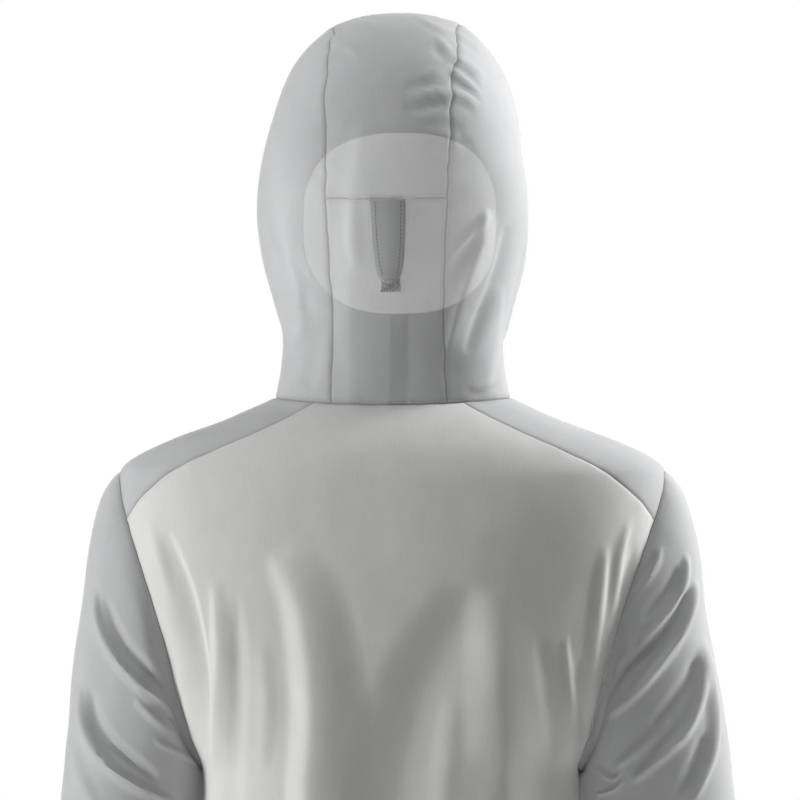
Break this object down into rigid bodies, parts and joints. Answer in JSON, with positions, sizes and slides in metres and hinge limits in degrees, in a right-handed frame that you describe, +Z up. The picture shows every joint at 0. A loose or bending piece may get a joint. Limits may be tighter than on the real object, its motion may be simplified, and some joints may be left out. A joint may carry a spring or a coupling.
{
  "type": "hooded shell jacket",
  "caption": "Light grey hooded shell jacket, hood up and front zip closed, filled out as worn and empty inside, with a three-panel hood, shoulder yokes and long sleeves.",
  "frame": {"origin": "middle of the neck seam, inside the neck, where the wearer's neck holds the jacket", "axes": "+Z up along the wearer's back, +Y out of the back of the jacket, -Y out of the zipped front, +X to the wearer's left"},
  "size_m": [0.675, 0.265, 1.0573],
  "materials": {
    "warm_cloth": "matt woven shell cloth, warm light grey",
    "cool_cloth": "thin woven shell cloth, cool light grey, lets a little light through",
    "trim": "zip tape, moulded teeth and hook-and-loop patch",
    "metal": "grey lacquered metal"
  },
  "bodies": {
    "garment": {"back": "warm_cloth", "front_left": "warm_cloth", "front_right": "warm_cloth", "yoke_left": "cool_cloth", "yoke_right": "cool_cloth", "sleeve_left": "cool_cloth", "sleeve_right": "cool_cloth", "hood_side_left": "cool_cloth", "hood_side_right": "cool_cloth", "hood_centre_upper": "cool_cloth", "hood_centre_lower": "cool_cloth", "hood_tab": "cool_cloth", "hood_tab_fastener": "trim", "zip_tape_left": "trim", "zip_tape_right": "trim", "zip_chain": "trim", "zip_slider": "metal", "zip_box": "metal"},
    "zip_pull": {"zip_pull": "metal"}
  },
  "joints": [
    {"name": "zip_pull_swing", "type": "hinge", "parent": "garment", "child": "zip_pull", "pos_m": [0, -0.1208, 0.06398], "axis": [-1, 0, 0], "range_deg": [-10, 165]}
  ]
}
